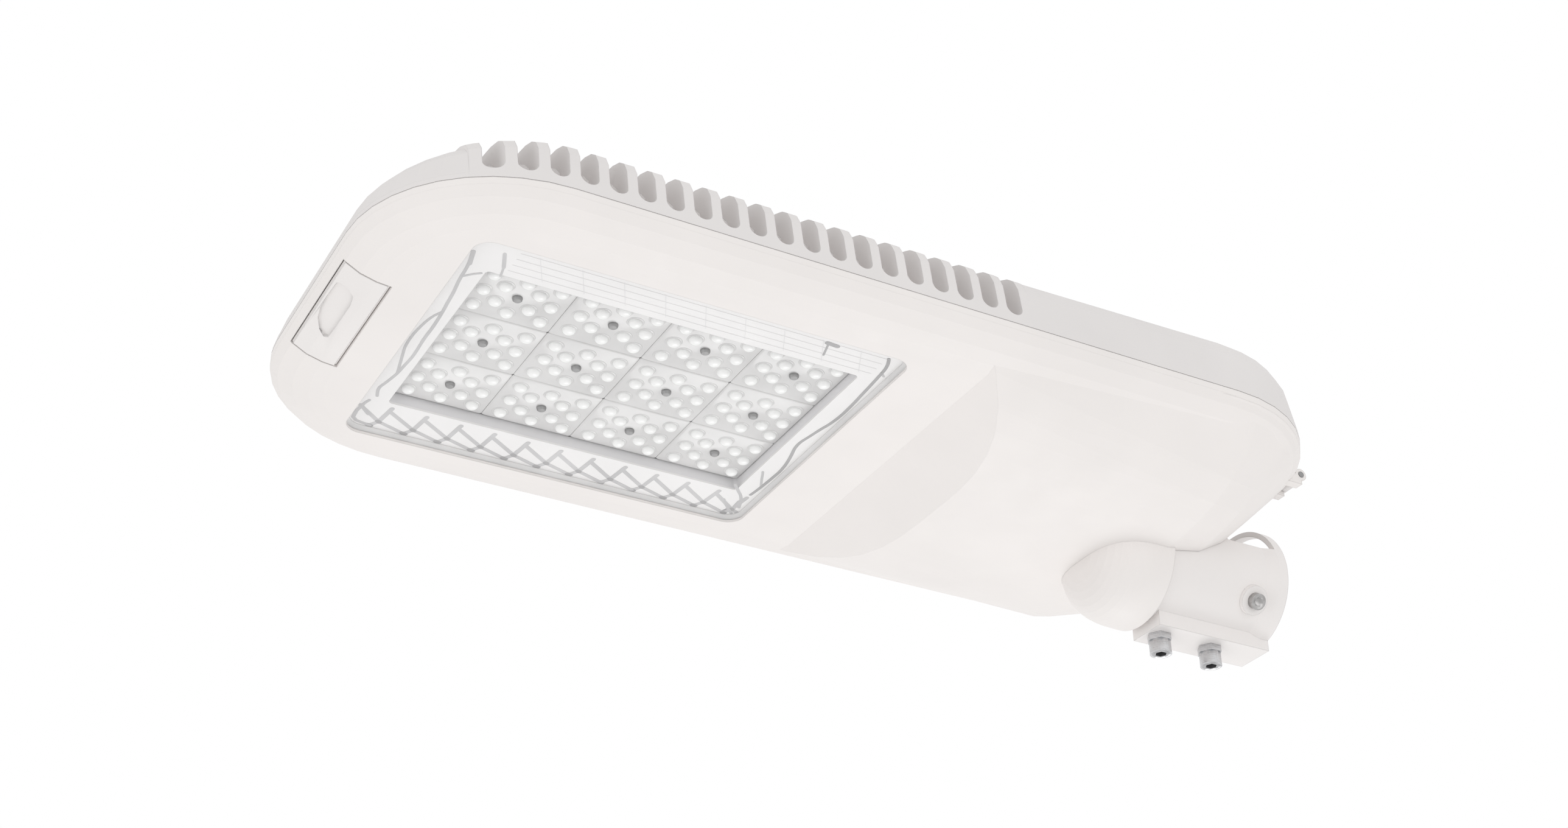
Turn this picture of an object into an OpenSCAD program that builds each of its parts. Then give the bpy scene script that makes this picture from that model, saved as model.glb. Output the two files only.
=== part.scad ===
// Street lantern for a pole arm: a lower body with a flat window and a pole socket,
// and a finned cover with the light unit that hinges up from it.
// All pieces are drawn around the centre of the light panel (X towards the pole, Z up),
// and the whole lantern is then moved so that the origin is the centre of the socket's mouth.

/* [Body] */
// Distance from the light panel's centre to the nose
nose_x = 176; // [172:1:180]
// Distance from the light panel's centre to the rear edge
rear_x = 404; // [402:1:404]
// Width of the whole body
body_width = 284; // [282:1:286]
// Plan radius of the two nose corners
nose_radius = 86; // [80:1:92]
// Plan radius of the two rear corners
rear_radius = 92; // [90:1:94]
// General wall thickness of the castings
wall = 3; // [2.6:0.1:3.2]

/* [Fins] */
// Number of cooling fins
fin_count = 21; // [21:1:21]
// Distance from one fin to the next
fin_pitch = 15.4; // [15.2:0.1:15.4]
// Thickness of one fin
fin_thickness = 5.6; // [4.8:0.1:6.4]

/* [Light panel] */
// Length of one lens module
module_length = 54; // [53:0.5:54]
// Width of one lens module
module_width = 47.7; // [47:0.1:47.7]
// Diameter of one lens at its foot
lens_diameter = 8.6; // [8:0.1:10.4]
// Thickness of the window glass
glass_thickness = 3; // [3:0.5:4]

/* [Pole socket] */
// Inside diameter of the socket
bore_diameter = 62; // [61:0.5:63]
// Outside diameter of the socket
socket_diameter = 72; // [71:0.5:72]
// Depth of the socket
bore_depth = 90; // [86:1:92]

/* [Output] */
// Piece to draw, or all

/* [Hidden] */

// Where the socket's mouth lies from the light panel
mouth_x = 425;
axis_drop = 35;

half_width = body_width / 2;
corner_steps = 10;

// Heights, counted from the light panel's face
parting_z = 3.5;
cover_z = 3.8;
underside_z = -12;
glass_out_z = -10.4;
glass_in_z = glass_out_z + glass_thickness;
deck_z = 2.2;
mask_thickness = 1.2;
mask_top_z = glass_in_z + mask_thickness;
clip_z = mask_top_z + 0.3;

// Window
window_x = 123;
window_y = 103;
glass_lap = 6;
panel_gap = 0.6;
module_gap = 2;
module_rows = 3;
module_columns = 4;
panel_x = module_columns * module_length / 2;
panel_y = module_rows * module_width / 2;
surround_x = panel_x - panel_gap;
surround_y = panel_y + panel_gap;

// Fins
fins_start_x = -139;
fins_end_x = fins_start_x + (fin_count - 1) * fin_pitch + fin_thickness;
fin_foot_z = 9.5;
gap_width = fin_pitch - fin_thickness;

// Gear bay
slope_x = 164;
slope_angle = 36;

// Socket
bore_r = bore_diameter / 2;
socket_r = socket_diameter / 2;
tunnel_r = socket_r + 0.4;
tunnel_wall = 2.1;
neck_x = 340;
fairing_r = 39.6;
fairing_length = 40;
socket_end_x = mouth_x - bore_depth;
mouth_ring = 6;
mouth_ring_r = 38.5;
arch_r = 35.4;
top_open_x = 386;
top_open_z = 14;
socket_wall_x = 322.3;
tunnel_end_x = 318;
bolt_xs = [353, 390];
bolt_r = 4;
boss_z = -78;
nut_height = 4;
head_height = 8;
side_screw_x = 402.5;
side_screw_angle = 35.5;
gland_r = 7;
gland_z = -16;
socket_screw_y = 23;
socket_screw_z = -26;

// Hinge
hinge_x = rear_x + 0.4;
hinge_z = 3.6;
hinge_y = 72;
hinge_r = 3.8;
hinge_pin_r = 1.8;
hinge_slack = 0.05;
knuckle = 5;
ear_near = knuckle + 0.3;
ear_far = 11;

// Latch
latch_x0 = -170.8;
latch_x1 = -147.8;
latch_y = 42;
latch_gap = 0.9;
latch_inner_gap = 1.7;
grip_depth = 1.6;
latch_pin_x = -166;
latch_pin_z = -1.2;
latch_pin_r = 1.5;
catch_y = 14;
keeper_x = -161;
catch_z = 8.2;

vent_z = 24;

// One outline of the body seen from above, moved in by a distance
function corner(cx, cy, r, a0) = [
  for (i = [0 : corner_steps])
    [cx + r * cos(a0 + 90 * i / corner_steps), cy + r * sin(a0 + 90 * i / corner_steps)]
];

function outline(d) = concat(
  corner(nose_radius - nose_x, half_width - nose_radius, nose_radius - d, 90),
  corner(nose_radius - nose_x, nose_radius - half_width, nose_radius - d, 180),
  corner(rear_x - rear_radius, rear_radius - half_width, rear_radius - d, 270),
  corner(rear_x - rear_radius, half_width - rear_radius, rear_radius - d, 0));

// Outline of the sealed space, which leaves the latch outside at the nose
function sealed(d) = concat(
  corner(40 - 142, half_width - 3 - 40, 40 - d, 90),
  corner(40 - 142, 3 + 40 - half_width, 40 - d, 180),
  corner(rear_x - rear_radius, rear_radius - half_width, rear_radius - 3 - d, 270),
  corner(rear_x - rear_radius, half_width - rear_radius, rear_radius - 3 - d, 0));

// The cover falls towards the nose by a share of its height
function droop(x, fall) = x > 10 ? 1 : 1 - fall * pow((10 - x) / 186, 1.6);

function lift(p, z, fall) = fall > 0 ? cover_z + (z - cover_z) * droop(p[0], fall) : z;

// Closed body through outlines at several heights; each level is [height, inset]
module stack(levels, fall = 0) {
  count = len(outline(0));
  half = count / 2;
  points = [
    for (level = levels)
      for (p = outline(level[1]))
        [p[0], p[1], lift(p, level[0], fall)]
  ];
  sides = [
    for (k = [0 : len(levels) - 2])
      for (i = [0 : count - 1])
        for (t = [0, 1])
          let (a = k * count + i, b = k * count + (i + 1) % count)
          t == 0 ? [b + count, b, a] : [a + count, b + count, a]
  ];
  top = (len(levels) - 1) * count;
  shift = count / 4;
  ring = [for (i = [0 : count - 1]) (i + shift) % count];
  caps = [
    for (i = [0 : half - 2])
      for (t = [0, 1])
        let (a = ring[i], b = ring[i + 1], c = ring[count - 2 - i], d = ring[count - 1 - i])
        t == 0 ? [a, b, c] : [a, c, d]
  ];
  lid = [for (f = caps) [top + f[2], top + f[1], top + f[0]]];
  polyhedron(points = points, faces = concat(sides, lid, caps));
}

module plate(points, z0, z1) {
  translate([0, 0, z0])
    linear_extrude(z1 - z0)
      polygon(points);
}

module ring_plate(outer, inner, z0, z1) {
  difference() {
    plate(outer, z0, z1);
    plate(inner, z0 - 1, z1 + 1);
  }
}

module rounded(x, y, r, z0, z1) {
  translate([0, 0, z0])
    linear_extrude(z1 - z0)
      polygon(concat(corner(x - r, y - r, r, 0), corner(r - x, y - r, r, 90),
        corner(r - x, r - y, r, 180), corner(x - r, r - y, r, 270)));
}

module along_x(x0, x1, r, z = 0, y = 0) {
  translate([x0, y, z])
    rotate([0, 90, 0])
      cylinder(h = x1 - x0, r = r);
}

module along_y(y0, y1, r, x, z) {
  translate([x, y0, z])
    rotate([-90, 0, 0])
      cylinder(h = y1 - y0, r = r);
}

module both_sides() {
  children();
  mirror([0, 1, 0])
    children();
}

// Lower body

module pan_outer() {
  stack([[underside_z, 30], [-11.2, 22], [-8.8, 13], [-4.2, 4.6], [0, 0.5], [parting_z, 0]]);
}

module pan_inner() {
  stack([[-9, 31], [-8.2, 24], [-6.4, 16], [-2.4, 7.8], [0.5, 3.6], [parting_z + 1, 3]]);
}

// Cross-section of the gear bay's floor at one station: a full arc across the body
function arc_points(depth, half, power) = concat(
  [for (i = [-8 : 8])
    let (t = i / 8) [half * t, -depth * (1 - pow(abs(t), power))]],
  [[half, 1], [-half, 1]]);

module station(x, depth, half, power) {
  translate([x, 0, 0])
    rotate([90, 0, 90])
      linear_extrude(0.2)
        polygon(arc_points(depth, half, power));
}

module gear_bulge(inset) {
  side = 1.3 * inset;
  difference() {
    hull() {
      plate([for (p = outline(0.5 + inset)) if (p[0] > 145) p], -0.5, parting_z - 0.1 + inset);
      station(150, 33 - inset, 136 - side, 3.3);
      station(257, 36.5 - inset, 136 - side, 3.5);
      station(335, 42 - inset, 134 - side, 3.5);
      station(360 - inset, 37.5 - inset, 122 - side, 3.2);
      station(378 - inset, 27.5 - inset, 108 - side, 2.9);
      station(390 - inset, 17 - inset, 94 - side, 2.6);
    }
    translate([slope_x + inset * 1.75, 0, underside_z])
      rotate([0, slope_angle, 0])
        translate([-200, -200, -200])
          cube([500, 400, 200]);
  }
}

module body_skin() {
  difference() {
    union() {
      pan_outer();
      gear_bulge(0);
      fairing();
    }
    pan_inner();
    gear_bulge(wall);
  }
}

// Round nose that covers the inner end of the socket
module fairing() {
  steps = 12;
  translate([neck_x, 0, -axis_drop])
    rotate([0, -90, 0])
      rotate_extrude()
        polygon(concat([[0, 0]], [
          for (i = [0 : steps])
            let (t = sin(90 * i / steps))
            [fairing_r * pow(1 - pow(t, 3), 1 / 3), fairing_length * t]
        ]));
}

module tunnel() {
  intersection() {
    along_x(tunnel_end_x, rear_x, tunnel_r + tunnel_wall, -axis_drop);
    union() {
      pan_outer();
      gear_bulge(0);
    }
  }
}

module hinge_ear(y0, y1, z0, z1) {
  along_y(y0, y1, hinge_r, hinge_x, hinge_z);
  translate([hinge_x - 16, y0, z0])
    cube([16, y1 - y0, z1 - z0]);
}

module post(x, y, z0, z1, r) {
  translate([x, y, z0])
    cylinder(h = z1 - z0, r = r);
}

clip_y = window_y + 7.5;
clip_x = window_x + 7.5;
clip_spots = [[-90, clip_y], [0, clip_y], [90, clip_y], [-90, -clip_y], [0, -clip_y], [90, -clip_y],
  [-clip_x, 50], [-clip_x, -50], [clip_x, 50], [clip_x, -50]];

// Way from a clip's middle to its screw, pointing out of the window
function clip_out(s) = abs(s[1]) > 100 ? [0, 3.5 * sign(s[1])] : [3.5 * sign(s[0]), 0];

tray_spots = [[214, 82], [214, -82], [284, 82], [284, -82]];
driver_spots = [[226, 67], [226, -67]];

module latch_box(extra) {
  translate([latch_x0 - extra - 0.4, -latch_y - extra, -14])
    cube([latch_x1 - latch_x0 + 2 * extra + 0.4 + latch_inner_gap - latch_gap, 2 * (latch_y + extra),
      14 + deck_z]);
}

module lower_body() {
  color([0.9, 0.89, 0.88])
    placed()
    difference() {
      union() {
        body_skin();
        tunnel();
        intersection() {
          pan_outer();
          union() {
            ring_plate(outline(0), sealed(9), -1.5, parting_z);
            rounded(window_x + 16, window_y + 16, 16, -10.5, clip_z - 0.1);
            latch_box(latch_gap + 2.6);
          }
        }
        intersection() {
          gear_bulge(0);
          for (s = tray_spots)
            post(s[0], s[1], -40, -16.2, 5);
        }
        both_sides() {
          hinge_ear(hinge_y - ear_far, hinge_y - ear_near, -3, parting_z);
          hinge_ear(hinge_y + ear_near, hinge_y + ear_far, -3, parting_z);
        }
      }
      // socket tunnel, gland and socket screws
      along_x(socket_wall_x - 0.3, rear_x + 10, tunnel_r, -axis_drop);
      along_x(tunnel_end_x - 20, neck_x, gland_r + 0.1, gland_z);
      for (y = [-socket_screw_y, socket_screw_y])
        along_x(tunnel_end_x - 20, neck_x, 4.1, socket_screw_z, y);
      // window and the glass seat
      rounded(window_x, window_y, 10, -30, 0);
      rounded(window_x + glass_lap + 2, window_y + glass_lap + 2, 11, glass_out_z, 0);
      // groove for the frame seal
      ring_plate(sealed(1.5), sealed(6.5), 0.5, parting_z + 1);
      // latch pocket, catch slot and pin hole
      latch_box(latch_gap);
      translate([keeper_x, -catch_y, 0])
        cube([14, 2 * catch_y, 10]);
      along_y(-latch_y - 2.8, latch_y + 2.8, latch_pin_r + hinge_slack, latch_pin_x, latch_pin_z);
      // room for the cover's hinge knuckles, and the pin holes
      both_sides() {
        along_y(hinge_y - ear_near, hinge_y + ear_near, hinge_r + 0.8, hinge_x, hinge_z);
        along_y(hinge_y - 20, hinge_y + 20, hinge_pin_r + hinge_slack, hinge_x, hinge_z);
      }
      // screw holes for the clips and the tray
      for (s = clip_spots)
        post(s[0] + clip_out(s)[0], s[1] + clip_out(s)[1], clip_z - 4.2, 0, 1.5);
      for (s = tray_spots)
        post(s[0], s[1], -19, -10, 2);
    }
}

// Pole socket

module pole_socket() {
  color([0.88, 0.87, 0.86])
    placed()
    difference() {
      union() {
        along_x(socket_wall_x, mouth_x, socket_r, -axis_drop);
        along_x(mouth_x - mouth_ring, mouth_x, mouth_ring_r, -axis_drop);
        translate([mouth_x - mouth_ring - 8, 0, -axis_drop])
          rotate([0, 90, 0])
            cylinder(h = 8, r1 = socket_r, r2 = mouth_ring_r);
        translate([neck_x + 4, -13, boss_z])
          cube([mouth_x - neck_x - 4, 26, 30]);
        side_boss(9, 31, 38.5);
      }
      along_x(socket_end_x, mouth_x + 1, bore_r, -axis_drop);
      // the top is open between the body and the mouth ring, which goes over it as a thin arch
      translate([top_open_x, -50, top_open_z - axis_drop])
        cube([mouth_x - mouth_ring - top_open_x, 100, 40]);
      intersection() {
        along_x(mouth_x - mouth_ring - 1, mouth_x + 1, arch_r, -axis_drop);
        translate([top_open_x, -50, top_open_z - axis_drop])
          cube([60, 100, 40]);
      }
      along_x(300, socket_end_x + 5, gland_r + 0.1, gland_z);
      for (y = [-socket_screw_y, socket_screw_y])
        along_x(300, socket_end_x - 2, 4, socket_screw_z, y);
      for (x = bolt_xs)
        translate([x, 0, -90])
          cylinder(h = 40, r = bolt_r + 0.05);
      side_boss(3.05, 20, 60);
    }
}

// A round boss or hole that stands out of the socket's flank
module side_boss(r, from, to) {
  translate([side_screw_x, 0, -axis_drop])
    rotate([90 + side_screw_angle, 0, 0])
      translate([0, 0, from])
        cylinder(h = to - from, r = r);
}

module hex_socket(r, depth) {
  translate([0, 0, -0.01])
    cylinder(h = depth, r = r, $fn = 6);
}

module clamp_bolts() {
  color([0.72, 0.72, 0.73])
    placed()
    for (x = bolt_xs)
      translate([x, 0, boss_z - nut_height - head_height])
        difference() {
          union() {
            cylinder(h = head_height, r = 6.5);
            translate([0, 0, head_height - 1])
              cylinder(h = nut_height + 13, r = bolt_r);
          }
          hex_socket(3.5, 5);
        }
}

module lock_nuts() {
  color([0.7, 0.7, 0.71])
    placed()
    for (x = bolt_xs)
      translate([x, 0, boss_z - nut_height])
        difference() {
          cylinder(h = nut_height, r = 7.5, $fn = 6);
          translate([0, 0, -1])
            cylinder(h = 8, r = bolt_r + 0.05);
        }
}

module side_screw() {
  color([0.35, 0.35, 0.36])
    placed()
    difference() {
      union() {
        side_boss(3, 31.2, 39);
        side_boss(5, 38.5, 42.5);
      }
      translate([side_screw_x, 0, -axis_drop])
        rotate([90 + side_screw_angle, 0, 0])
          translate([0, 0, 40])
            cylinder(h = 5, r = 2.9, $fn = 6);
    }
}

module socket_screws() {
  color([0.7, 0.7, 0.71])
    placed()
    for (y = [-socket_screw_y, socket_screw_y])
      difference() {
        union() {
          along_x(tunnel_end_x - 8, tunnel_end_x, 6.5, socket_screw_z, y);
          along_x(tunnel_end_x - 1, tunnel_end_x + 14, 4, socket_screw_z, y);
        }
        translate([tunnel_end_x - 9, y, socket_screw_z])
          rotate([0, 90, 0])
            cylinder(h = 5, r = 3.4, $fn = 6);
      }
}

module cable_gland() {
  color([0.2, 0.2, 0.21])
    placed()
    difference() {
      union() {
        along_x(tunnel_end_x - 6, socket_end_x - 1, gland_r, gland_z);
        along_x(tunnel_end_x - 4, tunnel_end_x, 10.5, gland_z);
        translate([tunnel_end_x - 16, 0, gland_z])
          rotate([0, 90, 0])
            cylinder(h = 13, r = 10, $fn = 6);
      }
      along_x(tunnel_end_x - 20, socket_end_x + 8, 4.6, gland_z);
    }
}

// Window

module glass() {
  color([0.9, 0.93, 0.94, 0.35])
    placed()
    rounded(window_x + glass_lap, window_y + glass_lap, 9, glass_out_z, glass_in_z);
}

module glass_seal() {
  color([0.7, 0.7, 0.69])
    placed()
    difference() {
      rounded(window_x + glass_lap + 1.9, window_y + glass_lap + 1.9, 10.9, glass_out_z,
        glass_in_z - 0.2);
      rounded(window_x + glass_lap + 0.1, window_y + glass_lap + 0.1, 9.1, -20, 0);
    }
}

module at_clips() {
  for (s = clip_spots)
    translate([s[0], s[1], 0])
      rotate([0, 0, atan2(clip_out(s)[1], clip_out(s)[0]) - 90])
        children();
}

module glass_clips() {
  color([0.75, 0.75, 0.76])
    placed()
    at_clips()
      difference() {
        union() {
          translate([-7, -9, clip_z])
            cube([14, 15, 1.2]);
          translate([-7, -9, clip_z - 0.3])
            cube([14, 4, 0.4]);
        }
        translate([0, 3.5, clip_z - 1])
          cylinder(h = 4, r = 1.6);
      }
}

module clip_screws() {
  color([0.6, 0.6, 0.61])
    placed()
    at_clips()
      translate([0, 3.5, 0]) {
        translate([0, 0, clip_z + 1.2])
          cylinder(h = 2, r = 2.8);
        translate([0, 0, clip_z - 4])
          cylinder(h = 6, r = 1.45);
      }
}

module mask() {
  color([0.93, 0.93, 0.92])
    placed()
    difference() {
      rounded(window_x + glass_lap, window_y + glass_lap, 9, glass_in_z, mask_top_z);
      rounded(surround_x, surround_y, 2.5, -20, 0);
    }
}

module panel_surround() {
  color([0.72, 0.72, 0.73])
    placed()
    difference() {
      rounded(surround_x + 2, surround_y + 2, 4, mask_top_z, 0.3);
      rounded(surround_x, surround_y, 2.5, -20, 5);
    }
}

module frame_seal() {
  color([0.2, 0.2, 0.2])
    placed()
    ring_plate(sealed(1.8), sealed(6.2), 0.5, parting_z + 0.2);
}

// Gear bay

module gear_tray() {
  color([0.78, 0.78, 0.79])
    placed()
    difference() {
      union() {
        translate([206, -96, -16])
          cube([85, 192, 1.5]);
        translate([206, -96, -16])
          cube([1.5, 192, 7]);
      }
      for (s = concat(tray_spots, driver_spots))
        post(s[0], s[1], -20, 0, 2.3);
    }
}

module tray_screws() {
  color([0.6, 0.6, 0.61])
    placed() {
      for (s = tray_spots) {
        post(s[0], s[1], -14.5, -12, 3.6);
        post(s[0], s[1], -18.8, -14, 1.9);
      }
      for (s = driver_spots) {
        post(s[0], s[1], -11.5, -9, 3.6);
        post(s[0], s[1], -15.8, -11, 1.9);
      }
    }
}

module driver() {
  color([0.85, 0.85, 0.84])
    placed()
    difference() {
      union() {
        translate([212, -60, -14.5])
          cube([74, 120, 34]);
        translate([219, -73, -14.5])
          cube([14, 146, 3]);
      }
      for (s = driver_spots)
        post(s[0], s[1], -16, 0, 2.3);
    }
}

module surge_protector() {
  color([0.2, 0.25, 0.35])
    placed()
    difference() {
      translate([238, 66, -14.5])
        cube([34, 28, 24]);
      for (x = [246, 264])
        post(x, 88, 4, 12, 2.6);
    }
}

module terminal_block() {
  color([0.9, 0.9, 0.88])
    placed()
    difference() {
      translate([236, -90, -14.5])
        cube([40, 24, 16]);
      for (i = [0 : 2])
        post(243 + 13 * i, -72, -6, 4, 2.8);
      for (i = [0 : 2])
        along_y(-92, -80, 3, 243 + 13 * i, -6);
    }
}

module vent_plug() {
  color([0.15, 0.15, 0.16])
    placed()
    union() {
      along_x(rear_x - 9, rear_x - 3, 6, vent_z);
      along_x(rear_x - 3.4, rear_x - 1.2, 8.5, vent_z);
    }
}

// Latch

// Finger grip: a shallow dent with a round front end
grip_outline = [[-169.2, -24], [-169.6, -10], [-169.4, 2], [-168, 9.5], [-164.6, 17], [-160.6, 21],
  [-158.6, 19.6], [-158.2, 10], [-158.2, -14], [-159.4, -22], [-163, -26], [-167.4, -26.2]];

module latch_lever() {
  color([0.89, 0.88, 0.87])
    placed()
    difference() {
      union() {
        intersection() {
          difference() {
            pan_outer();
            translate([0, 0, 2.6])
              pan_outer();
            translate([latch_x0 - 1, -50, -2.6])
              cube([9, 100, 8]);
          }
          translate([latch_x0, -latch_y, -14])
            cube([latch_x1 - latch_x0, 2 * latch_y, 14]);
        }
        both_sides() {
          along_y(31, latch_y - 0.3, 3.1, latch_pin_x, latch_pin_z);
          translate([latch_pin_x - 1.5, 31, -6])
            cube([4.5, latch_y - 31.3, 5]);
        }
        translate([-157, -catch_y, -9.5])
          cube([7, 2 * catch_y, 6]);
      }
      both_sides()
        along_y(20, 50, latch_pin_r + hinge_slack, latch_pin_x, latch_pin_z);
      difference() {
        plate(grip_outline, -14, 0);
        translate([0, 0, grip_depth])
          pan_outer();
      }
      translate([-153.3, -10.2, -10.4])
        cube([1.6, 20.4, 12]);
    }
}

module latch_catch() {
  color([0.7, 0.7, 0.71])
    placed()
    union() {
      translate([-153.1, -10, -8.8])
        cube([1.2, 20, 18.2]);
      translate([-163.5, -10, catch_z])
        cube([11, 20, 1.2]);
    }
}

module latch_pin() {
  color([0.7, 0.7, 0.71])
    placed()
    both_sides()
      along_y(20, latch_y + 2.6, latch_pin_r, latch_pin_x, latch_pin_z);
}

module latch_spring() {
  color([0.65, 0.65, 0.66])
    placed()
    difference() {
      along_y(21.5, 30.5, 2.7, latch_pin_x, latch_pin_z);
      along_y(20, 32, 1.7, latch_pin_x, latch_pin_z);
    }
}

module hinge_pins() {
  color([0.3, 0.3, 0.31])
    placed()
    both_sides()
      along_y(hinge_y - ear_far - 0.5, hinge_y + ear_far + 0.5, hinge_pin_r, hinge_x, hinge_z);
}

// Cover

nose_fall = 0.45;
fin_fall = 0.34;

module cover_outer(fall) {
  stack([[cover_z, 0], [10, 0.6], [30, 4], [38, 8], [43, 13.5], [47, 22], [50, 36], [53.5, 60],
    [55.5, 82]], fall);
}

module cover_core() {
  stack([[cover_z, 12], [26, 15], [34, 21], [39, 30], [42.5, 45], [45, 66], [46.5, 83]], nose_fall);
}

module cover_cavity() {
  stack([[cover_z - 1, 15], [23, 18], [31, 24], [36, 33], [39.5, 48], [42, 68], [43.5, 84]], nose_fall);
}

module gear_cavity() {
  intersection() {
    stack([[cover_z - 1, 3], [10, 3.6], [28, 7], [36, 12], [40.5, 18], [44, 27], [47, 41],
      [50.5, 64], [52.4, 83]]);
    translate([184, -200, 0])
      cube([300, 400, 100]);
  }
}

module fin_gaps() {
  for (i = [0 : fin_count - 2])
    translate([fins_start_x + i * fin_pitch + fin_thickness, -200, 0]) {
      translate([0, 0, fin_foot_z + gap_width / 2])
        cube([gap_width, 400, 80]);
      translate([gap_width / 2, 0, fin_foot_z + gap_width / 2])
        rotate([-90, 0, 0])
          cylinder(h = 400, r = gap_width / 2);
    }
}

// The smooth nose and the smooth gear cover, with the fins between them
module cover_outer_parts() {
  difference() {
    cover_outer(nose_fall);
    translate([fins_start_x, -200, fin_foot_z])
      cube([fins_end_x - fins_start_x - 0.5, 400, 80]);
  }
  difference() {
    intersection() {
      cover_outer(fin_fall);
      translate([fins_start_x, -200, cover_z])
        cube([fins_end_x - fins_start_x, 400, 80]);
    }
    fin_gaps();
  }
}

module top_cover() {
  color([0.9, 0.9, 0.89])
    placed()
    difference() {
      union() {
        difference() {
          union() {
            cover_outer_parts();
            cover_core();
          }
          cover_cavity();
          gear_cavity();
        }
        // sealing land round the rim
        ring_plate(outline(0.4), sealed(9), cover_z, cover_z + 3.2);
        // deck that carries the light unit, on webs up to the shell
        intersection() {
          union() {
            translate([-124, -90, 2.2])
              cube([248, 180, 4]);
            for (y = [-84, -28, 28, 84])
              translate([-122, y - 2, 3])
                cube([244, 4, 60]);
          }
          union() {
            cover_core();
            translate([-124, -90, 2])
              cube([248, 180, 4.2]);
          }
        }
        both_sides()
          hinge_ear(hinge_y - knuckle, hinge_y + knuckle, cover_z + 0.6, hinge_z + hinge_r);
      }
      both_sides() {
        along_y(hinge_y - ear_far - 0.4, hinge_y - knuckle, hinge_r + 0.7, hinge_x, hinge_z);
        along_y(hinge_y + knuckle, hinge_y + ear_far + 0.4, hinge_r + 0.7, hinge_x, hinge_z);
        along_y(hinge_y - 20, hinge_y + 20, hinge_pin_r + hinge_slack, hinge_x, hinge_z);
      }
      // slot for the catch; its front edge is the keeper
      translate([keeper_x, -catch_y, 0])
        cube([14, 2 * catch_y, 16]);
      translate([keeper_x - 4, -catch_y, cover_z + 3.2])
        cube([10, 2 * catch_y, 5]);
      along_x(rear_x - 17, rear_x + 2, 6.1, vent_z);
      along_x(rear_x - 3.5, rear_x + 2, 8.8, vent_z);
    }
}

module panel_grid() {
  for (i = [0 : module_columns - 1])
    for (j = [0 : module_rows - 1])
      translate([(i + 0.5) * module_length - panel_x, (j + 0.5) * module_width - panel_y, 0])
        children();
}

lens_spots = concat(
  [for (i = [-1 : 1]) for (j = [-1 : 1]) if (i != 0 || j != 0) [i * 0.346, j * 0.277]],
  [for (i = [-1, 1]) for (j = [-1, 1]) [i * 0.173, j * 0.1385]]);

module led_board() {
  color([0.85, 0.85, 0.84])
    placed()
    difference() {
      translate([-panel_x, -panel_y, 0.6])
        cube([2 * panel_x, 2 * panel_y, 1.6]);
      panel_grid()
        cylinder(h = 10, r = 1.9, $fn = 16);
    }
}

module leds() {
  color([0.95, 0.9, 0.6])
    placed()
    panel_grid()
      for (s = lens_spots)
        translate([s[0] * module_length - 1.5, s[1] * module_length - 1.5, 0.1])
          cube([3, 3, 0.5]);
}

module lens_modules() {
  color([0.9, 0.9, 0.9, 0.6])
    placed()
    panel_grid()
      difference() {
        union() {
          translate([(module_gap - module_length) / 2, (module_gap - module_width) / 2, -1])
            cube([module_length - module_gap, module_width - module_gap, 1]);
          for (s = lens_spots)
            translate([s[0] * module_length, s[1] * module_length, -3.9])
              cylinder(h = 3, r1 = lens_diameter * 0.28, r2 = lens_diameter / 2, $fn = 8);
        }
        translate([0, 0, -5])
          cylinder(h = 10, r = 2, $fn = 12);
      }
}

module module_screws() {
  color([0.25, 0.25, 0.26])
    placed()
    panel_grid() {
      translate([0, 0, -2.6])
        cylinder(h = 1.6, r = 3.4, $fn = 16);
      translate([0, 0, -1.2])
        cylinder(h = 3.4, r = 1.5, $fn = 12);
    }
}

module placed() {
  translate([-mouth_x, 0, axis_drop])
    children();
}

lower_body();
pole_socket();
clamp_bolts();
lock_nuts();
side_screw();
socket_screws();
cable_gland();
glass();
glass_seal();
glass_clips();
clip_screws();
mask();
panel_surround();
frame_seal();
gear_tray();
tray_screws();
driver();
surge_protector();
terminal_block();
vent_plug();
latch_lever();
latch_catch();
latch_pin();
latch_spring();
hinge_pins();
top_cover();
led_board();
leds();
lens_modules();
module_screws();
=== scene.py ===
import math
import bpy
import bmesh
from mathutils import Matrix, Vector


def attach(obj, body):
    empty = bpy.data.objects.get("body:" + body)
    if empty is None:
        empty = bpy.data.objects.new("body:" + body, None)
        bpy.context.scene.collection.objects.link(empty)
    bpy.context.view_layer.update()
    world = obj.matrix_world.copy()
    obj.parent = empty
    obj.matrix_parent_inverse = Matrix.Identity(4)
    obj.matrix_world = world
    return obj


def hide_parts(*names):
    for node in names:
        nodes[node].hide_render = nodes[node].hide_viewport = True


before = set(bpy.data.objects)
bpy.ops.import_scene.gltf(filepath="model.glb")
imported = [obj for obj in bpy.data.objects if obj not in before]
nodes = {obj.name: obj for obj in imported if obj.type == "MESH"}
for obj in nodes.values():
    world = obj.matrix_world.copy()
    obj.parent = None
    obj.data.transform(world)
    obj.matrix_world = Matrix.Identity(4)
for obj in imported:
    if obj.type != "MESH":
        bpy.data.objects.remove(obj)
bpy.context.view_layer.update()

# The light panel's frame, in mm, as in the part's source: X to the pole, Z up, underside -Z
MOUTH_X = 425
AXIS_DROP = 35
MODULE_X = 54
MODULE_Y = 47.7
MODULE_GAP = 2
FINE_JOINT = 0.2
COLUMNS = 4
ROWS = 3


def P(x, y, z):
    """A place in the panel's frame, as metres in the CAD frame."""
    return Vector(((x - MOUTH_X) / 1000, y / 1000, (z + AXIS_DROP) / 1000))


# ---------------------------------------------------------------- camera

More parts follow.
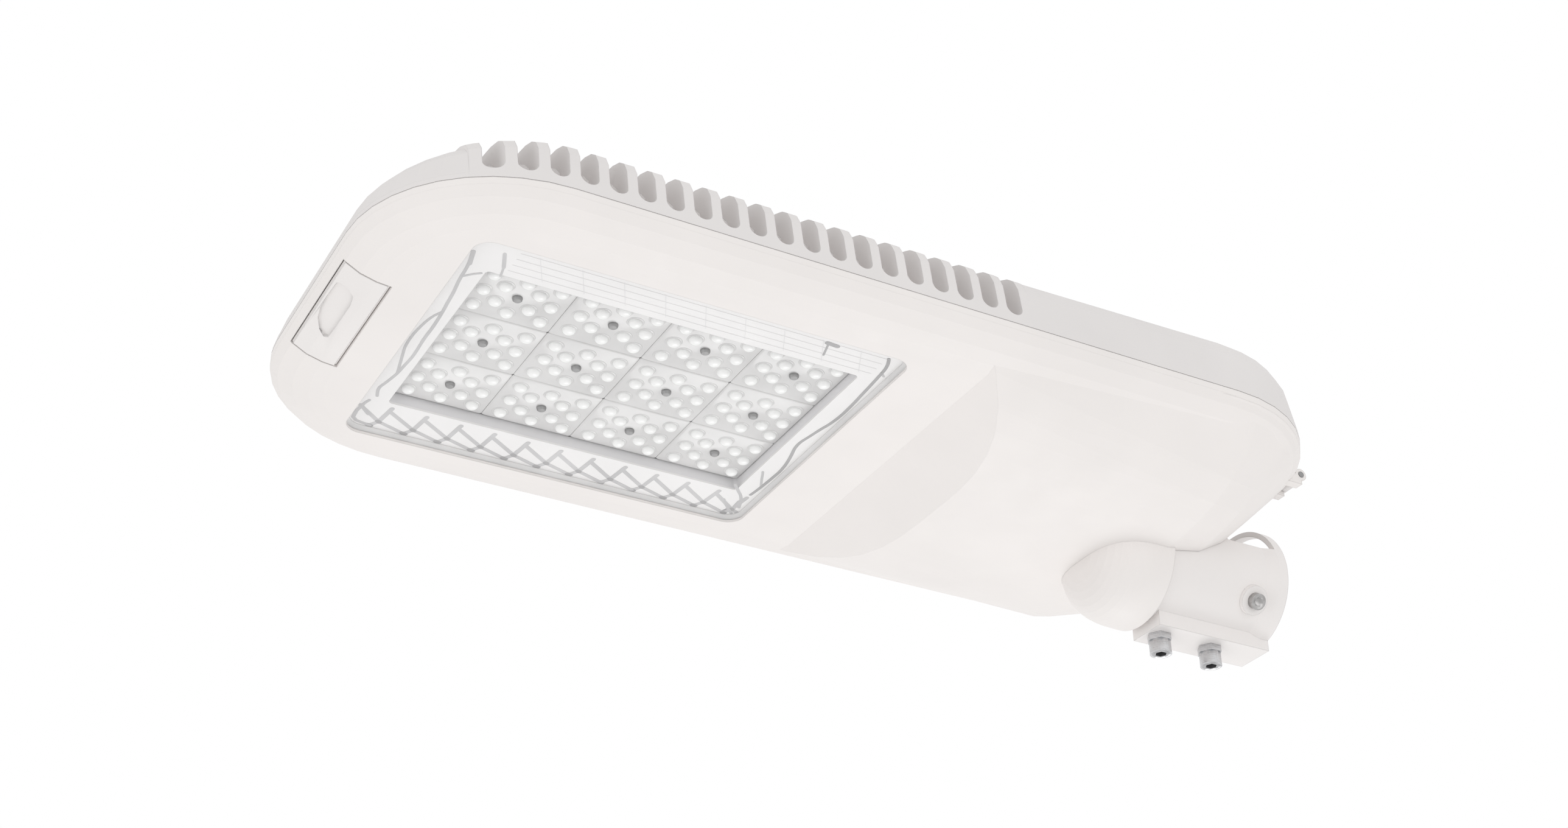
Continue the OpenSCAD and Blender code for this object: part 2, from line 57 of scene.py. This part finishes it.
# Place and axes recovered from the photograph's regular grid of lenses
CAMERA = (-419.5, -950.9, -639.7)
SENSOR_MM = 36
LENS_MM = 51.22
right = Vector((0.87931, -0.47620, -0.00715))
up = Vector((-0.23805, -0.45246, 0.85942))
back = right.cross(up)
cam_data = bpy.data.cameras.new("camera")
cam_data.sensor_width = SENSOR_MM
cam_data.lens = LENS_MM
cam_data.clip_start = 0.05
cam_data.clip_end = 100
camera = bpy.data.objects.new("camera", cam_data)
bpy.context.scene.collection.objects.link(camera)
camera.matrix_world = Matrix.Translation(P(*CAMERA)) @ Matrix((right, up, back)).transposed().to_4x4()
bpy.context.scene.camera = camera


# ---------------------------------------------------------------- materials

def material(name, color, rough=0.5, metallic=0.0, specular=0.5, alpha=1.0):
    m = bpy.data.materials.new(name)
    m.use_nodes = True
    tree = m.node_tree
    shader = tree.nodes["Principled BSDF"]
    shader.inputs["Base Color"].default_value = (*color, 1)
    shader.inputs["Roughness"].default_value = rough
    shader.inputs["Metallic"].default_value = metallic
    shader.inputs["Specular IOR Level"].default_value = specular
    shader.inputs["Alpha"].default_value = alpha
    return m, tree, shader


# Where most of a noise texture's values lie
NOISE_SPAN = (0.3, 0.7)
BEVEL_SAMPLES = 4


def noise(tree, scale, detail=2.0, stretch=(1, 1, 1)):
    coord = tree.nodes.new("ShaderNodeTexCoord")
    mapping = tree.nodes.new("ShaderNodeMapping")
    mapping.inputs["Scale"].default_value = stretch
    tex = tree.nodes.new("ShaderNodeTexNoise")
    tex.inputs["Scale"].default_value = scale
    tex.inputs["Detail"].default_value = detail
    tree.links.new(coord.outputs["Object"], mapping.inputs["Vector"])
    tree.links.new(mapping.outputs["Vector"], tex.inputs["Vector"])
    return tex.outputs["Fac"]


def vary_color(tree, shader, fac, low, high):
    ramp = tree.nodes.new("ShaderNodeValToRGB")
    for element, position, color in zip(ramp.color_ramp.elements, NOISE_SPAN, (low, high)):
        element.position = position
        element.color = (*color, 1)
    tree.links.new(fac, ramp.inputs["Fac"])
    tree.links.new(ramp.outputs["Color"], shader.inputs["Base Color"])


def vary_rough(tree, shader, fac, low, high):
    span = tree.nodes.new("ShaderNodeMapRange")
    span.inputs["From Min"].default_value, span.inputs["From Max"].default_value = NOISE_SPAN
    span.inputs["To Min"].default_value = low
    span.inputs["To Max"].default_value = high
    tree.links.new(fac, span.inputs["Value"])
    tree.links.new(span.outputs["Result"], shader.inputs["Roughness"])


def bump(tree, shader, fac, distance, strength=1.0, edge=0.0):
    node = tree.nodes.new("ShaderNodeBump")
    node.inputs["Strength"].default_value = strength
    node.inputs["Distance"].default_value = distance
    tree.links.new(fac, node.inputs["Height"])
    if edge:
        rounded = tree.nodes.new("ShaderNodeBevel")
        rounded.samples = BEVEL_SAMPLES
        rounded.inputs["Radius"].default_value = edge
        tree.links.new(rounded.outputs["Normal"], node.inputs["Normal"])
    tree.links.new(node.outputs["Normal"], shader.inputs["Normal"])


def shade(color, k):
    """The color, k times as bright."""
    return tuple(min(1, c * k) for c in color)


# grain is the scale of the fine bumps, depth their height and edge the rounding of edges, in metres
def paint(name, color, grain=1500, depth=0.00006, edge=0.0008, rough=(0.5, 0.62), specular=0.4):
    m, tree, shader = material(name, color, specular=specular)
    vary_color(tree, shader, noise(tree, 14, 3), shade(color, 0.975), shade(color, 1.015))
    vary_rough(tree, shader, noise(tree, 60, 3), *rough)
    bump(tree, shader, noise(tree, grain, 2), depth, 0.5, edge)
    return m


def metal(name, color, rough=(0.25, 0.4), stretch=(1, 1, 12), scale=240):
    m, tree, shader = material(name, color, metallic=1.0)
    fac = noise(tree, scale, 4, stretch)
    vary_color(tree, shader, fac, shade(color, 0.86), shade(color, 1.06))
    vary_rough(tree, shader, fac, *rough)
    bump(tree, shader, fac, 0.00003, 0.4, 0.0003)
    return m


def moulded(name, color, rough=(0.4, 0.55), grain=2500, depth=0.00003, edge=0.0003, spread=0.06):
    m, tree, shader = material(name, color)
    vary_color(tree, shader, noise(tree, 30, 2), shade(color, 1 - spread), shade(color, 1 + spread / 2))
    vary_rough(tree, shader, noise(tree, 90, 2), *rough)
    bump(tree, shader, noise(tree, grain, 2), depth, 0.4, edge)
    return m


OFF_WHITE = (0.87, 0.835, 0.815)
body_paint = paint("body_paint", OFF_WHITE)
cover_paint = paint("cover_paint", (0.79, 0.765, 0.755), edge=0.0005, rough=(0.62, 0.74), specular=0.15)
socket_paint = paint("socket_paint", (0.86, 0.83, 0.815), grain=1100, depth=0.00008)
latch_paint = paint("latch_paint", (0.86, 0.83, 0.815))
steel = metal("fastener_steel", (0.62, 0.62, 0.63))
clip_steel = metal("clip_steel", (0.6, 0.6, 0.61), stretch=(8, 1, 1))
dark_steel = metal("dark_steel", (0.34, 0.335, 0.335), rough=(0.4, 0.55))
worn_steel = metal("worn_steel", (0.52, 0.51, 0.505), rough=(0.3, 0.5), stretch=(1, 1, 1), scale=400)
# Near black for the faces deep inside the bolts' hexagon sockets: painted shade, since the white-lit steel would
# otherwise show bright there
socket_painted_shade = moulded("socket_painted_shade", (0.03, 0.03, 0.032), rough=(0.7, 0.9), edge=0)
zinc = metal("tray_zinc", (0.58, 0.6, 0.62), rough=(0.3, 0.5), stretch=(1, 1, 1), scale=90)
aluminium = metal("driver_case", (0.66, 0.66, 0.65), rough=(0.35, 0.5), stretch=(1, 14, 1))
rubber = moulded("seal_rubber", (0.8, 0.79, 0.785), rough=(0.6, 0.8))
gland_plastic = moulded("gland_plastic", (0.03, 0.03, 0.033))
mask_white = moulded("mask_white", (0.90, 0.885, 0.88), spread=0.02)
surround_grey = moulded("surround_grey", (0.8, 0.79, 0.8), edge=0, spread=0.03)
line_grey = moulded("line_grey", (0.6, 0.59, 0.595), edge=0, spread=0.12)
line_dark = moulded("line_dark", (0.42, 0.41, 0.415), edge=0, spread=0.12)
line_faint = moulded("line_faint", (0.8, 0.79, 0.79), edge=0, spread=0.05)
surge_case = moulded("surge_case", (0.04, 0.07, 0.16), rough=(0.25, 0.35))
terminal_plastic = moulded("terminal_plastic", (0.78, 0.78, 0.75), rough=(0.3, 0.4))
board_white = moulded("board_white", (0.86, 0.85, 0.845), rough=(0.3, 0.4))
led_yellow = moulded("led_yellow", (0.8, 0.62, 0.2), rough=(0.2, 0.3))
plate_clear = moulded("lens_plate", (0.73, 0.72, 0.715), rough=(0.12, 0.2), spread=0.07)
# Near white for the lens domes: painted highlight standing in for the glint of the clear lenses, whose skirts
# keep the plate's grey
dome_painted_highlight = moulded("lens_dome_painted_highlight", (0.97, 0.97, 0.96), rough=(0.05, 0.1), spread=0.01, edge=0)

glass_clear, tree, shader = material("glass_clear", (0.93, 0.95, 0.95), rough=0.03, alpha=0.04)
vary_rough(tree, shader, noise(tree, 20, 2), 0.02, 0.06)


# ---------------------------------------------------------------- pieces

def finish_mesh(name, bm, materials, body, replaced=(), angle=35):
    """Makes the piece; edges sharper than angle stay sharp."""
    mesh = bpy.data.meshes.new(name)
    bm.normal_update()
    bm.to_mesh(mesh)
    bm.free()
    for m in materials:
        mesh.materials.append(m)
    mesh.shade_smooth()
    mesh.set_sharp_from_angle(angle=math.radians(angle))
    piece = bpy.data.objects.new(name, mesh)
    bpy.context.scene.collection.objects.link(piece)
    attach(piece, body)
    if replaced:
        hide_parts(*replaced)
    return piece


def ring(bm, points):
    return [bm.verts.new(P(*p)) for p in points]


def bridge(bm, a, b, index=0):
    """Quads between two rings, in the material of that index."""
    n = len(a)
    for i in range(n):
        f = bm.faces.new((a[i], a[(i + 1) % n], b[(i + 1) % n], b[i]))
        f.material_index = index


def cap(bm, a, index=0, flip=False):
    f = bm.faces.new(list(reversed(a)) if flip else a)
    f.material_index = index


def prism_y(bm, section, y0, y1):
    """Straight bar along Y; section is [x, z] places in turn."""
    near = ring(bm, [(x, y0, z) for x, z in section])
    far = ring(bm, [(x, y1, z) for x, z in section])
    bridge(bm, near, far)
    cap(bm, near, 0, True)
    cap(bm, far)


# Stop lips along the flap's two long edges, which close the depth of its joints, as [x, z] sections
LIP_REACH = 41.9
LATCH_LIPS = (
    ((-170.6, -4.0), (-171.1, -3.85), (-171.5, -2.95), (-171.5, -2.7), (-170.6, -2.7)),
    ((-147.9, -10.9), (-146.7, -10.7), (-146.4, -10.3), (-146.4, -9.5), (-147.9, -9.4)),
)


MERGE_DISTANCE = 0.00001
FACET_ANGLE = 31


def smooth_copy(node, body, m, painted_shade_test):
    """The same solid with its facets joined, so that light runs smoothly over its curves.
    The last argument is a test of a face's middle, for faces that take the near-black second material (painted
    shade), or None."""
    bm = bmesh.new()
    bm.from_mesh(nodes[node].data)
    bmesh.ops.remove_doubles(bm, verts=bm.verts, dist=MERGE_DISTANCE)
    if node == "latch_lever":
        for section in LATCH_LIPS:
            prism_y(bm, section, -LIP_REACH, LIP_REACH)
    for f in bm.faces:
        f.material_index = 1 if painted_shade_test and painted_shade_test(f.calc_center_median()) else 0
    materials = [m, socket_painted_shade] if painted_shade_test else [m]
    piece = finish_mesh(node + "_skin", bm, materials, body, [node], FACET_ANGLE)
    normals = piece.modifiers.new("normals", "WEIGHTED_NORMAL")
    normals.keep_sharp = True


def rounded_rect(cx, cy, hx, hy, r, z, steps=5):
    """Outline at height z about a centre, from half lengths and a corner radius."""
    points = []
    for k, (sx, sy) in enumerate(((1, 1), (-1, 1), (-1, -1), (1, -1))):
        for i in range(steps + 1):
            a = math.radians(90 * k + 90 * i / steps)
            points.append((cx + sx * (hx - r) + r * math.cos(a), cy + sy * (hy - r) + r * math.sin(a), z))
    return points


def lathe(bm, x, y, profile, steps, index=0):
    """Turned form about a vertical line; profile is [radius, height] downwards, closed at both ends."""
    angles = [2 * math.pi * i / steps for i in range(steps)]
    rings = [ring(bm, [(x + r * math.cos(a), y + r * math.sin(a), z) for a in angles]) for r, z in profile]
    for a, b in zip(rings, rings[1:]):
        bridge(bm, b, a, index)
    cap(bm, rings[0], index)
    cap(bm, rings[-1], index, True)


def module_centres():
    for i in range(COLUMNS):
        for j in range(ROWS):
            yield (i + 0.5 - COLUMNS / 2) * MODULE_X, (j + 0.5 - ROWS / 2) * MODULE_Y


def plate_side(centre, pitch, count, sign):
    """Place of a lens plate's edge: a fine joint to the next plate, a wider one at the panel's rim."""
    edge = centre + sign * pitch / 2
    outer = abs(edge) > count * pitch / 2 - 1
    return edge - sign * (MODULE_GAP / 2 if outer else FINE_JOINT / 2)


# The 12 lenses of a plate, as shares of the module's pitch from its middle: 8 outer ones and 4 inner ones
LENSES = [(i * 0.346, j * 0.277) for i in (-1, 0, 1) for j in (-1, 0, 1) if i or j]
LENSES += [(i * 0.173, j * 0.1385) for i in (-1, 1) for j in (-1, 1)]
PLATE_CORNER = 1.2
PLATE_EDGE = ((0, 0), (-0.45, 0), (-1, 0.65))       # height, inset
SKIRT = ((4.7, -0.9), (4.7, -1.1), (4.5, -1.2))     # radius, height
DOME_R = 3.7
DOME_FOOT = -1.2
DOME_START = -1.3
DOME_HEIGHT = 2.6
DOME_TIP = (0.5, -3.9)      # radius, height
DOME_POWER = 0.7        # under 1 makes the dome fuller than a half ellipse
DOME_RINGS = 8
DOME_STEPS = 24

DOME = [(DOME_R, DOME_FOOT)]
for k in range(1, DOME_RINGS):
    a = math.radians(90 * k / DOME_RINGS)
    DOME.append((DOME_R * math.cos(a) ** DOME_POWER, DOME_START - DOME_HEIGHT * math.sin(a)))
DOME.append(DOME_TIP)

# Lens plates with smooth domes; the domes are near white, a painted highlight for the glint of the clear lenses
bm = bmesh.new()
for cx, cy in module_centres():
    x0, x1 = (plate_side(cx, MODULE_X, COLUMNS, k) for k in (-1, 1))
    y0, y1 = (plate_side(cy, MODULE_Y, ROWS, k) for k in (-1, 1))
    middle = ((x0 + x1) / 2, (y0 + y1) / 2)
    rings = [ring(bm, rounded_rect(*middle, (x1 - x0) / 2 - d, (y1 - y0) / 2 - d, PLATE_CORNER, z))
             for z, d in PLATE_EDGE]
    for a, b in zip(rings, rings[1:]):
        bridge(bm, b, a)
    cap(bm, rings[0])
    cap(bm, rings[-1], 0, True)
    for lx, ly in LENSES:
        place = (cx + lx * MODULE_X, cy + ly * MODULE_X)
        lathe(bm, *place, SKIRT, DOME_STEPS)
        lathe(bm, *place, DOME, DOME_STEPS, 1)
finish_mesh("lens_plates", bm, [plate_clear, dome_painted_highlight], "cover", ["lens_modules"], 40)

# Pan-head screws with a hexagonal drive; radius, height
SCREW = ((1.5, 2.1), (1.5, -1.02), (2.7, -1.02), (2.8, -1.6), (2.5, -2.6), (1.9, -3.1))
SCREW_DRIVE = ((1.3, -3.0), (1.2, -3.14))
bm = bmesh.new()
for cx, cy in module_centres():
    lathe(bm, cx, cy, SCREW, 20)
    lathe(bm, cx, cy, SCREW_DRIVE, 6)
finish_mesh("panel_screws", bm, [dark_steel], "cover", ["module_screws"])

# Window glass with sloped edges
WINDOW_X = 123
WINDOW_Y = 103
GLASS_X = WINDOW_X + 0.6
GLASS_Y = WINDOW_Y + 0.6
GLASS_CORNER = 10.4
CORNER_STEPS = 8
GLASS_EDGE = ((-10.38, 0.3), (-10.1, 0), (-7.9, 2.2), (-7.6, 2.5))      # height, inset
bm = bmesh.new()
rings = [ring(bm, rounded_rect(0, 0, GLASS_X - d, GLASS_Y - d, GLASS_CORNER, z, CORNER_STEPS))
         for z, d in GLASS_EDGE]
for a, b in zip(rings, rings[1:]):
    bridge(bm, a, b)
cap(bm, rings[0], 0, True)
cap(bm, rings[-1])
finish_mesh("window_glass", bm, [glass_clear], "base", ["glass"])

# Silicone bed round the glass, which follows its slope; distance from the window's edge, height
BED = ((7.8, -10.36), (0.9, -10.36), (0.7, -10.1), (-1.5, -7.9), (-1.5, -7.46), (5.6, -7.46), (7.8, -7.66))
BED_CORNER = 10
BED_CORNER_GROWTH = 0.9     # the most that the corner grows by, so that it stays inside its seat
bm = bmesh.new()
rings = [ring(bm, rounded_rect(0, 0, WINDOW_X + d, WINDOW_Y + d,
                               BED_CORNER + min(d, BED_CORNER_GROWTH), z, CORNER_STEPS)) for d, z in BED]
for a, b in zip(rings, rings[1:] + rings[:1]):
    bridge(bm, b, a)
finish_mesh("glass_bed", bm, [rubber], "base", ["glass_seal"])


# Thin grey lines printed on the pale border behind the glass. A line's face has its own height,
# so that no two faces lie in one plane where lines cross.
LINE_BACK = -7.41
LINE_FACE = -7.48
LINE_STEP = 0.0019
LINE_LEVELS = 47
FACES_PER_RUN = 12
PULL_X = 112
PULL_Y = 94
PULL = 0.75
CURVE_STEPS = 5


def pull_in(v, start):
    """Draws places beyond start together, so that they stay inside the glass bed."""
    return v if abs(v) < start else math.copysign(start + PULL * (abs(v) - start), v)


def line(bm, points, width, index):
    """Flat bars with round ends along the points."""
    points = [(pull_in(x, PULL_X), pull_in(y, PULL_Y)) for x, y in points]
    for (ax, ay), (bx, by) in zip(points, points[1:]):
        z0 = LINE_FACE - LINE_STEP * (len(bm.faces) // FACES_PER_RUN % LINE_LEVELS)
        angle = math.atan2(by - ay, bx - ax)
        outline = []
        for ox, oy, turn in ((bx, by, -90), (ax, ay, 90)):
            for i in range(5):
                t = angle + math.radians(turn + 45 * i)
                outline.append((ox + width / 2 * math.cos(t), oy + width / 2 * math.sin(t)))
        low = ring(bm, [(x, y, z0) for x, y in outline])
        high = ring(bm, [(x, y, LINE_BACK) for x, y in outline])
        bridge(bm, low, high, index)
        cap(bm, low, index, True)
        cap(bm, high, index)


def curve_through(points):
    """Smooth run through a few places."""
    out = []
    n = len(points)
    for i in range(n - 1):
        p = [points[max(i - 1, 0)], points[i], points[i + 1], points[min(i + 2, n - 1)]]
        for k in range(CURVE_STEPS):
            t = k / CURVE_STEPS
            out.append(tuple(0.5 * (2 * p[1][a] + (p[2][a] - p[0][a]) * t
                                    + (2 * p[0][a] - 5 * p[1][a] + 4 * p[2][a] - p[3][a]) * t * t
                                    + (3 * p[1][a] - p[0][a] - 3 * p[2][a] + p[3][a]) * t ** 3) for a in (0, 1)))
    return out + [points[-1]]


bm = bmesh.new()
MID, DARK, FAINT = 0, 1, 2
# trellis along the far side
TRELLIS_START = -105
TRELLIS_PITCH = 20.2
for k in range(12):
    x = TRELLIS_START + TRELLIS_PITCH * k
    line(bm, [(x - 18, 81), (x, 94), (x + 16.5, 102)], 2.8, MID)
    line(bm, [(x + 2, 77), (x, 94), (x - 3.5, 102)], 2.8, MID)
    line(bm, [(x - 0.5, 93.5), (x + 0.5, 94.5)], 3.4, DARK)
    line(bm, [(x - 4.4, 101.6), (x - 2.6, 102)], 3.4, DARK)
line(bm, [(-121, 80), (-122.4, 88), (-121.6, 96), (-118, 99.5), (-108, 102)], 2.2, MID)
# faint ruling along the near side
RULING_WIDTH = 0.35
for y in (-94, -88.5, -83, -77.5):
    line(bm, [(-98, y), (112, y)], RULING_WIDTH, FAINT)
for k in range(9):
    x = -88 + 23 * k
    line(bm, [(x, -95), (x + 9, -76)], RULING_WIDTH, FAINT)
# waves at the two ends, as width, material and places
REAR_WAVE = ((113, -95), (116, -90), (118, -84), (119, -75), (120, -65), (120.8, -55), (121.5, -47),
             (122, -36), (121.7, -28), (120.5, -20), (118.5, -13), (116.5, -4), (114.5, 5), (115, 12),
             (117, 18), (119, 24), (121, 32), (122, 40), (121.8, 48), (121.2, 58), (120.5, 66), (119.5, 73))
FRONT_WAVE = ((-122.5, -85), (-120.5, -78), (-119, -70), (-118, -58), (-116, -46), (-115, -36), (-114, -27),
              (-113, -12), (-113, 2), (-112, 20), (-113, 32), (-114, 42), (-116.5, 52), (-118.5, 60),
              (-116, 68))
for width, index, curved, points in (
        (2.0, DARK, True, REAR_WAVE),
        (1.4, MID, False, ((118, -81), (122, -78))),
        (1.6, MID, True, ((111, 45), (116, 54), (120.5, 61))),
        (2.0, MID, True, ((104, 66), (109, 72), (116, 80), (121, 90))),
        (2.0, MID, True, ((106, 85), (110, 90), (115, 95), (120, 100))),
        (1.6, MID, False, ((116, 83), (116.5, 90))),
        (2.0, DARK, True, ((114, 95), (112, 101))),
        (1.8, MID, True, FRONT_WAVE),
        (2.4, MID, False, ((-122, -85), (-119, -74))),
        (2.0, MID, False, ((-105, -90), (-101, -79))),
        (1.2, MID, True, ((-101, -79), (-99.5, -71))),
        (1.4, MID, True, ((-118, -62), (-113, -66), (-109, -69))),
        (1.6, MID, True, ((-114, -27), (-118, -20), (-120.5, -10), (-121.8, 2), (-121.2, 13),
                          (-119.5, 20))),
        (1.6, MID, False, ((-119.5, 20), (-114, 40))),
        (1.8, MID, True, ((-119, 74), (-121, 80), (-119, 84), (-113, 89))),
        # a small dark mark
        (3.0, DARK, False, ((76, -93.4), (82.5, -92.8))),
        (1.2, DARK, False, ((77, -93), (80, -82)))):
    line(bm, curve_through(points) if curved else points, width, index)
finish_mesh("border_lines", bm, [line_grey, line_dark, line_faint], "base", (), 30)

# Return spring of the latch, wound about its pivot
PIVOT_X = -166
PIVOT_Z = -1.2
SPRING_Y = 22.1
SPRING_LENGTH = 7.8
SPRING_TURNS = 5
COIL_R = 2.15
WIRE_R = 0.55
TURN_STEPS = 16
WIRE_STEPS = 8
bm = bmesh.new()
steps = SPRING_TURNS * TURN_STEPS
previous = None
for i in range(steps + 1):
    a = 2 * math.pi * i / TURN_STEPS
    y = SPRING_Y + SPRING_LENGTH * i / steps
    around = []
    for j in range(WIRE_STEPS):
        b = 2 * math.pi * j / WIRE_STEPS
        r = COIL_R + WIRE_R * math.cos(b)
        around.append((PIVOT_X + r * math.cos(a), y + WIRE_R * math.sin(b), PIVOT_Z + r * math.sin(a)))
    current = ring(bm, around)
    if previous:
        bridge(bm, previous, current)
    else:
        cap(bm, current, 0, True)
    previous = current
cap(bm, previous)
finish_mesh("spring_coil", bm, [steel], "latch", ["latch_spring"])

# The flap, the bolts and the side screw keep their solids, with joined facets
BOLT_X = [P(x, 0, 0).x for x in (353, 390)]
BOLT_END_Z = P(0, 0, -90).z
SOCKET_HOLE_R = 0.0036
SOCKET_HOLE_LIP = 0.0002
SOCKET_HOLE_DEPTH = 0.006


# The faces inside the bolts' hexagon sockets take the near-black material, which is painted shade
def in_painted_socket_shade(c):
    """Inside the hexagon socket in a bolt's lower end."""
    near = min(math.hypot(c.x - x, c.y) for x in BOLT_X)
    return near < SOCKET_HOLE_R and BOLT_END_Z + SOCKET_HOLE_LIP < c.z < BOLT_END_Z + SOCKET_HOLE_DEPTH


for node, body, slot, m, painted_shade_test in (
        ("latch_lever", "latch", "latch_paint", latch_paint, None),
        ("clamp_bolts", "base", "fastener_steel", steel, in_painted_socket_shade),
        ("side_screw", "base", "dark_steel", worn_steel, None)):
    smooth_copy(node, body, m, painted_shade_test)

# The other solids are kept as they are, with better materials
plain = {
    "lock_nuts": steel, "socket_screws": steel, "clip_screws": steel, "tray_screws": steel, "latch_pin": steel,
    "cable_gland": gland_plastic, "vent_plug": gland_plastic, "frame_seal": rubber,
    "glass_clips": clip_steel, "latch_catch": clip_steel, "mask": mask_white, "panel_surround": surround_grey,
    "gear_tray": zinc, "driver": aluminium, "surge_protector": surge_case, "terminal_block": terminal_plastic,
    "hinge_pins": dark_steel, "top_cover": cover_paint, "lower_body": body_paint,
    "pole_socket": socket_paint, "led_board": board_white, "leds": led_yellow,
}
for node, m in plain.items():
    data = nodes[node].data
    data.materials.clear()
    data.materials.append(m)


# ---------------------------------------------------------------- light and floor

scene = bpy.context.scene
scene.view_settings.view_transform = "Standard"

# White for the rays that show the surroundings, and a little weaker as light
WORLD_LIGHT = 0.86
world = bpy.data.worlds.new("sky")
scene.world = world
world.use_nodes = True
tree = world.node_tree
tree.nodes.clear()
out = tree.nodes.new("ShaderNodeOutputWorld")
mix = tree.nodes.new("ShaderNodeMixShader")
lit = tree.nodes.new("ShaderNodeBackground")
lit.inputs["Color"].default_value = (1, 1, 1, 1)
lit.inputs["Strength"].default_value = WORLD_LIGHT
seen_white = tree.nodes.new("ShaderNodeBackground")
seen_white.inputs["Color"].default_value = (1, 1, 1, 1)
seen_white.inputs["Strength"].default_value = 1
path = tree.nodes.new("ShaderNodeLightPath")
first = tree.nodes.new("ShaderNodeMath")
first.operation = "MAXIMUM"
second = tree.nodes.new("ShaderNodeMath")
second.operation = "MAXIMUM"
tree.links.new(path.outputs["Is Camera Ray"], first.inputs[0])
tree.links.new(path.outputs["Is Glossy Ray"], first.inputs[1])
tree.links.new(first.outputs[0], second.inputs[0])
tree.links.new(path.outputs["Is Transmission Ray"], second.inputs[1])
tree.links.new(second.outputs[0], mix.inputs["Fac"])
tree.links.new(lit.outputs[0], mix.inputs[1])
tree.links.new(seen_white.outputs[0], mix.inputs[2])
tree.links.new(mix.outputs[0], out.inputs["Surface"])


def lamp(name, place, aim, size, power):
    """Square softbox that faces aim."""
    data = bpy.data.lights.new(name, "AREA")
    data.shape = "SQUARE"
    data.size = size
    data.energy = power
    thing = bpy.data.objects.new(name, data)
    thing.location = place
    thing.rotation_mode = "QUATERNION"
    thing.rotation_quaternion = (Vector(place) - Vector(aim)).to_track_quat("Z", "Y")
    thing.visible_camera = False
    bpy.context.scene.collection.objects.link(thing)


lamp("below_rear", (0.6, 1.2, -1.9), (-0.2, 0, 0), 1.2, 12.5)
lamp("front_low", (-2.0, -0.1, -0.9), (-0.5, 0, 0), 1.4, 4)
lamp("near_side", (-0.3, -2.6, -0.5), (-0.3, 0, 0), 1.8, 9)

FLOOR_Z = -2.6
FLOOR_HALF = 20
floor_mesh = bpy.data.meshes.new("floor")
corners = [(x * FLOOR_HALF, y * FLOOR_HALF, FLOOR_Z) for x, y in ((-1, -1), (1, -1), (1, 1), (-1, 1))]
floor_mesh.from_pydata(corners, [], [(0, 1, 2, 3)])
floor = bpy.data.objects.new("floor", floor_mesh)
scene.collection.objects.link(floor)
floor_mat, tree, shader = material("floor", (0.88, 0.88, 0.88), rough=0.9, specular=0.1)
vary_color(tree, shader, noise(tree, 3, 2), (0.87, 0.87, 0.87), (0.89, 0.89, 0.89))
floor_mesh.materials.append(floor_mat)
